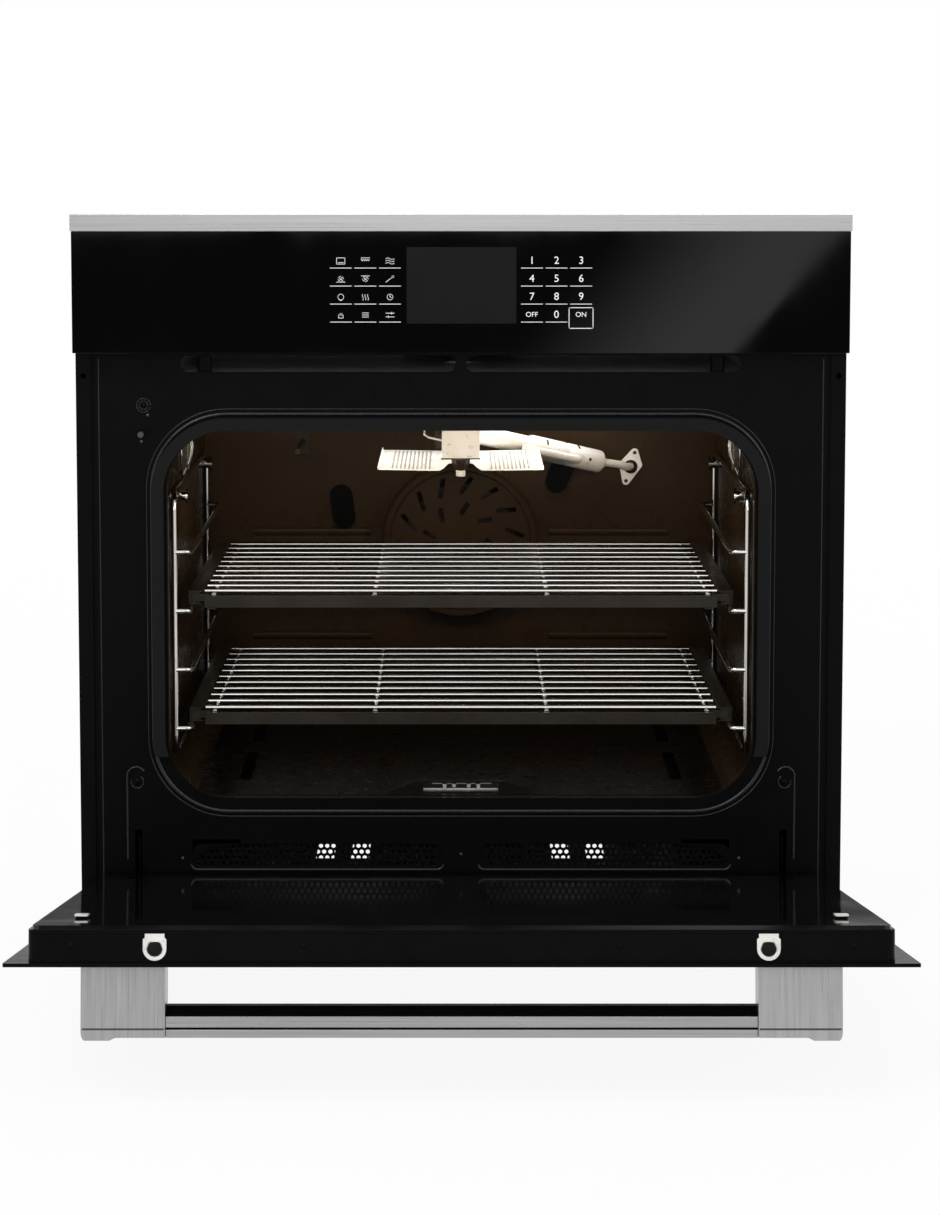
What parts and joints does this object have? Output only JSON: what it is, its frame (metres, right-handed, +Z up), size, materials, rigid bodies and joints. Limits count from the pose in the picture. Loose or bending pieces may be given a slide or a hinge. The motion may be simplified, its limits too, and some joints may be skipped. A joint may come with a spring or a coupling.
{
  "type": "wall oven",
  "caption": "Built-in gas convection wall oven with lowered door, two sliding racks and a touch control panel.",
  "frame": {"origin": "centre of the chassis base, on its underside", "axes": "+X to the right seen from the front, +Y into the cabinet, +Z up"},
  "size_m": [0.7556, 1.1616, 0.727],
  "materials": {
    "enamel_black": "satin",
    "cavity_enamel": "semi-gloss",
    "black_glass": "gloss",
    "inner_glass": "gloss",
    "lamp_glass": "gloss",
    "brushed_steel": "brushed",
    "chrome_wire": "polished",
    "rail_steel": "satin",
    "burner_steel": "satin",
    "galvanised": "satin",
    "zinc_steel": "satin",
    "motor_black": "matte",
    "valve_aluminium": "cast",
    "plastic_black": "matte",
    "board_green": "gloss",
    "bumper_rubber": "matte",
    "gasket_fibre": "woven",
    "mineral_wool": "fibrous",
    "igniter_ceramic": "matte"
  },
  "bodies": {
    "chassis": {"air_duct": "galvanised", "bake_burner": "burner_steel", "base_pan": "galvanised", "blower_housing": "galvanised", "blower_motor": "motor_black", "broil_burner": "burner_steel", "broil_screen": "burner_steel", "burner_tray": "galvanised", "cavity_liner": "cavity_enamel", "chassis_screws": "zinc_steel", "conduit_bushing": "plastic_black", "control_board": "board_green", "control_panel_glass": "black_glass", "control_panel_housing": "enamel_black", "convection_motor": "motor_black", "door_gasket": "gasket_fibre", "door_switch": "plastic_black", "fan_cover": "cavity_enamel", "flame_spreader": "burner_steel", "front_frame": "enamel_black", "gas_pipes": "valve_aluminium", "hinge_arms": "zinc_steel", "hinge_receivers": "galvanised", "igniters": "igniter_ceramic", "insulation": "mineral_wool", "intake_grilles": "enamel_black", "lamp_housings": "galvanised", "lamp_lenses": "lamp_glass", "oven_floor": "cavity_enamel", "pressure_regulator": "valve_aluminium", "probe_jack": "zinc_steel", "rack_bases": "rail_steel", "rack_guides": "chrome_wire", "rear_panel": "galvanised", "safety_valve": "valve_aluminium", "side_panels": "galvanised", "side_trims": "enamel_black", "temperature_sensor": "zinc_steel", "top_cover": "galvanised", "top_trim_strip": "brushed_steel"},
    "door": {"door_outer_glass": "black_glass", "door_liner": "enamel_black", "door_inner_glass": "inner_glass", "door_window_glass": "inner_glass", "door_insulation": "mineral_wool", "hinge_cases": "zinc_steel", "door_bumpers": "bumper_rubber", "glass_clips": "zinc_steel", "handle_posts": "brushed_steel", "handle_bar": "brushed_steel"},
    "hinge_rods": {"hinge_rods": "zinc_steel"},
    "upper_rack": {"upper_rails": "rail_steel", "upper_grid": "chrome_wire"},
    "lower_rack": {"lower_rails": "rail_steel", "lower_grid": "chrome_wire"},
    "upper_slide": {"upper_slide_members": "rail_steel"},
    "lower_slide": {"lower_slide_members": "rail_steel"},
    "convection_fan": {"convection_fan": "zinc_steel"},
    "blower_wheel": {"blower_wheel": "plastic_black"},
    "switch_plunger": {"switch_plunger": "plastic_black"}
  },
  "joints": [
    {"name": "door_hinge", "type": "hinge", "parent": "chassis", "child": "door", "pos_m": [0, -0.329, 0.053], "axis": [1, 0, 0], "range_deg": [-81.6, 0]},
    {"name": "hinge_rod_slide", "type": "slide", "parent": "door", "child": "hinge_rods", "axis": [0, -0.9893, 0.1461], "range_m": [0, 0.02]},
    {"name": "upper_rack_slide", "type": "slide", "parent": "chassis", "child": "upper_rack", "axis": [0, -1, 0], "range_m": [0, 0.38]},
    {"name": "upper_member_slide", "type": "slide", "parent": "chassis", "child": "upper_slide", "axis": [0, -1, 0], "range_m": [0, 0.19]},
    {"name": "lower_rack_slide", "type": "slide", "parent": "chassis", "child": "lower_rack", "axis": [0, -1, 0], "range_m": [0, 0.38]},
    {"name": "lower_member_slide", "type": "slide", "parent": "chassis", "child": "lower_slide", "axis": [0, -1, 0], "range_m": [0, 0.19]},
    {"name": "convection_fan_spin", "type": "hinge", "parent": "chassis", "child": "convection_fan", "pos_m": [0, 0.19, 0.352], "axis": [0, 1, 0], "continuous": true},
    {"name": "blower_spin", "type": "hinge", "parent": "chassis", "child": "blower_wheel", "pos_m": [0, 0.038, 0.6275], "axis": [1, 0, 0], "continuous": true},
    {"name": "plunger_slide", "type": "slide", "parent": "chassis", "child": "switch_plunger", "axis": [0, 1, 0], "range_m": [0, 0.004]}
  ],
  "couplings": [
    {"joint": "hinge_rod_slide", "follows": "door_hinge", "m_per_rad": -0.014},
    {"joint": "upper_member_slide", "follows": "upper_rack_slide", "ratio": 0.5},
    {"joint": "lower_member_slide", "follows": "lower_rack_slide", "ratio": 0.5},
    {"joint": "plunger_slide", "follows": "door_hinge", "m_per_rad": -0.0028}
  ]
}
